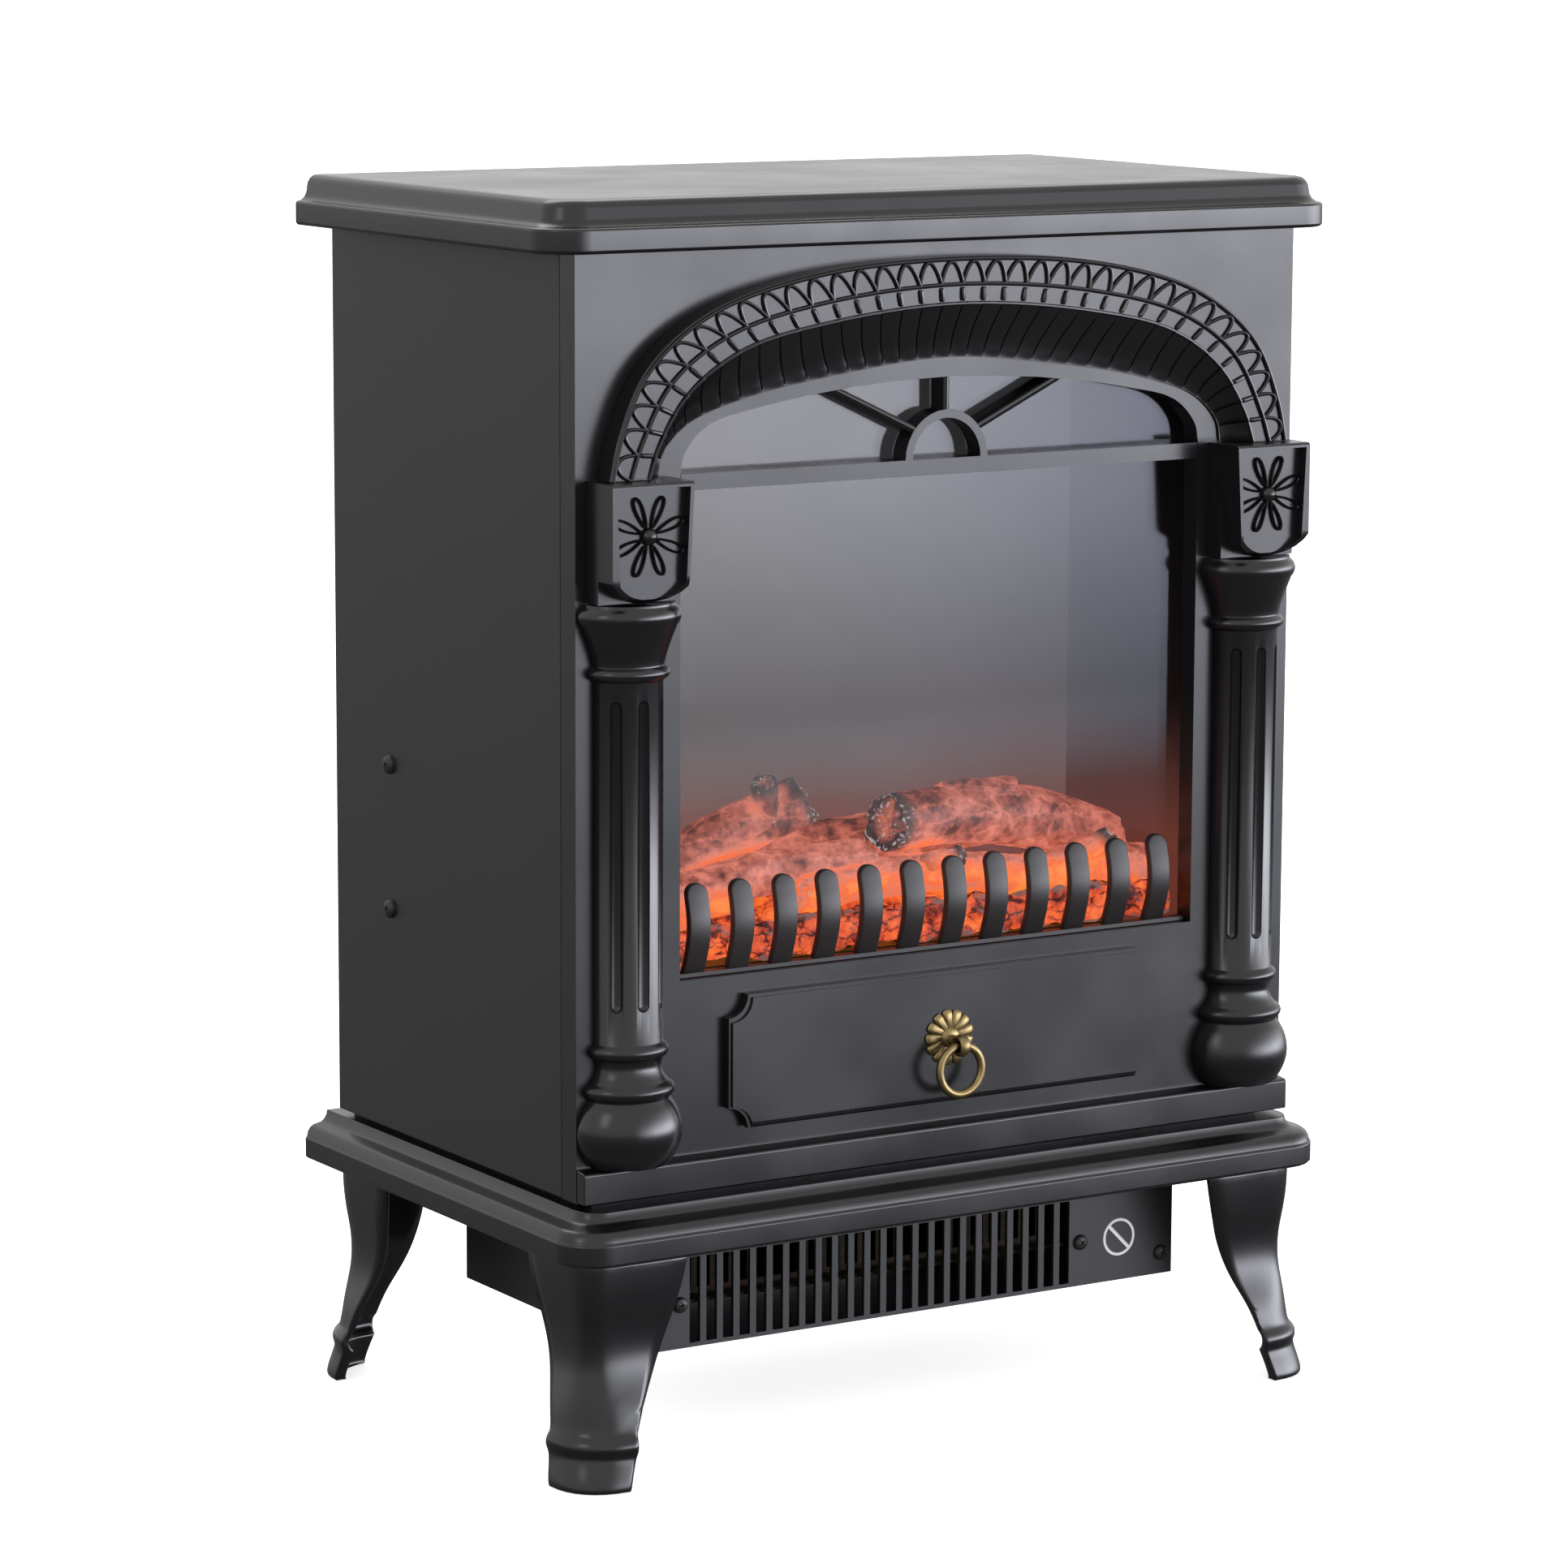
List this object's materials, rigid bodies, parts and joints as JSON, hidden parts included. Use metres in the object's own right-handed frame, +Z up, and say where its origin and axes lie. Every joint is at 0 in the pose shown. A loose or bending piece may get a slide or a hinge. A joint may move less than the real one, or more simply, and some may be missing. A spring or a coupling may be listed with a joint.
{
  "type": "electric fireplace stove",
  "caption": "Free-standing electric stove fire on four legs, with an arched window, fluted columns, a log set behind glass, a drop-down control flap and a fan heater below.",
  "frame": {"origin": "on the floor, under the middle of the overall footprint", "axes": "+Z up, the window and the controls face -Y, +X is to the right of someone facing the window"},
  "size_m": [0.42, 0.259, 0.569],
  "materials": {
    "antique_brass": "aged brass, darker in its hollows",
    "circuit_board": "green circuit board with lamps",
    "dark_plastic": "fine textured dark plastic",
    "element_bronze": "bronze coloured heater fins",
    "ember_resin": "lumpy translucent ember resin lit from below",
    "log_resin": "moulded log resin with ash grey bark",
    "plain_steel": "plain zinc plated steel",
    "powder_black": "satin black powder coat",
    "satin_black": "satin black moulding",
    "screen_white": "matt translucent screen",
    "smoked_mirror": "smoked half mirror",
    "window_glass": "glossy clear pane"
  },
  "bodies": {
    "cabinet": {"top_slab": "satin_black", "base_slab": "satin_black", "left_side_panel": "powder_black", "right_side_panel": "powder_black", "left_upper_side_screw": "dark_plastic", "right_upper_side_screw": "dark_plastic", "left_lower_side_screw": "dark_plastic", "right_lower_side_screw": "dark_plastic", "rear_panel": "powder_black", "cord_inlet": "dark_plastic", "front_surround": "satin_black", "plinth_moulding": "satin_black", "arch_surround": "satin_black", "left_capital_block": "satin_black", "right_capital_block": "satin_black", "left_column": "satin_black", "right_column": "satin_black", "window_tracery": "satin_black", "log_fender": "satin_black", "window_pane": "window_glass", "firebox_liner": "powder_black", "fire_mirror": "smoked_mirror", "flame_screen": "screen_white", "ember_bed": "ember_resin", "ember_lamp_board": "circuit_board", "log_right": "log_resin", "log_left": "log_resin", "log_front": "log_resin", "log_back": "log_resin", "left_spindle_bracket": "plain_steel", "right_spindle_bracket": "plain_steel", "spindle_motor": "plain_steel", "flame_lamp_board": "circuit_board", "control_panel": "dark_plastic", "flame_switch_body": "dark_plastic", "heat_switch_body": "dark_plastic", "thermostat_body": "dark_plastic", "heater_housing": "powder_black", "outlet_grille": "powder_black", "heating_element": "element_bronze", "blower_scroll": "plain_steel", "blower_motor": "plain_steel", "thermal_cutout": "plain_steel", "front_left_leg": "satin_black", "front_right_leg": "satin_black", "back_left_leg": "satin_black", "back_right_leg": "satin_black"},
    "flap": {"control_flap": "satin_black", "left_flap_pin": "plain_steel", "right_flap_pin": "plain_steel", "pull_rosette": "antique_brass", "pull_post": "antique_brass"},
    "ring": {"pull_ring": "antique_brass"},
    "flame_rocker": {"flame_switch_rocker": "satin_black"},
    "heat_rocker": {"heat_switch_rocker": "satin_black"},
    "knob": {"thermostat_knob": "satin_black"},
    "blower": {"blower_impeller": "plain_steel"},
    "spindle": {"spindle_rod": "plain_steel", "left_reflector": "plain_steel", "right_reflector": "plain_steel"}
  },
  "joints": [
    {"name": "flap_hinge", "type": "hinge", "parent": "cabinet", "child": "flap", "pos_m": [0, -0.10965, 0.15585], "axis": [1, 0, 0], "range_deg": [0, 65]},
    {"name": "ring_pull_swing", "type": "hinge", "parent": "flap", "child": "ring", "pos_m": [0, -0.1225, 0.1812], "axis": [-1, 0, 0], "range_deg": [0, 70]},
    {"name": "flame_switch_rock", "type": "hinge", "parent": "cabinet", "child": "flame_rocker", "pos_m": [-0.062, -0.083, 0.1835], "axis": [1, 0, 0], "range_deg": [0, 16]},
    {"name": "heat_switch_rock", "type": "hinge", "parent": "cabinet", "child": "heat_rocker", "pos_m": [-0.028, -0.083, 0.1835], "axis": [1, 0, 0], "range_deg": [0, 16]},
    {"name": "thermostat_knob_turn", "type": "hinge", "parent": "cabinet", "child": "knob", "pos_m": [0.044, -0.0965, 0.1835], "axis": [0, 1, 0], "range_deg": [0, 270]},
    {"name": "blower_spin", "type": "hinge", "parent": "cabinet", "child": "blower", "pos_m": [0, -0.0145, 0.075], "axis": [1, 0, 0], "continuous": true},
    {"name": "flame_spindle_spin", "type": "hinge", "parent": "cabinet", "child": "spindle", "pos_m": [0, 0.0335, 0.234], "axis": [1, 0, 0], "continuous": true}
  ]
}
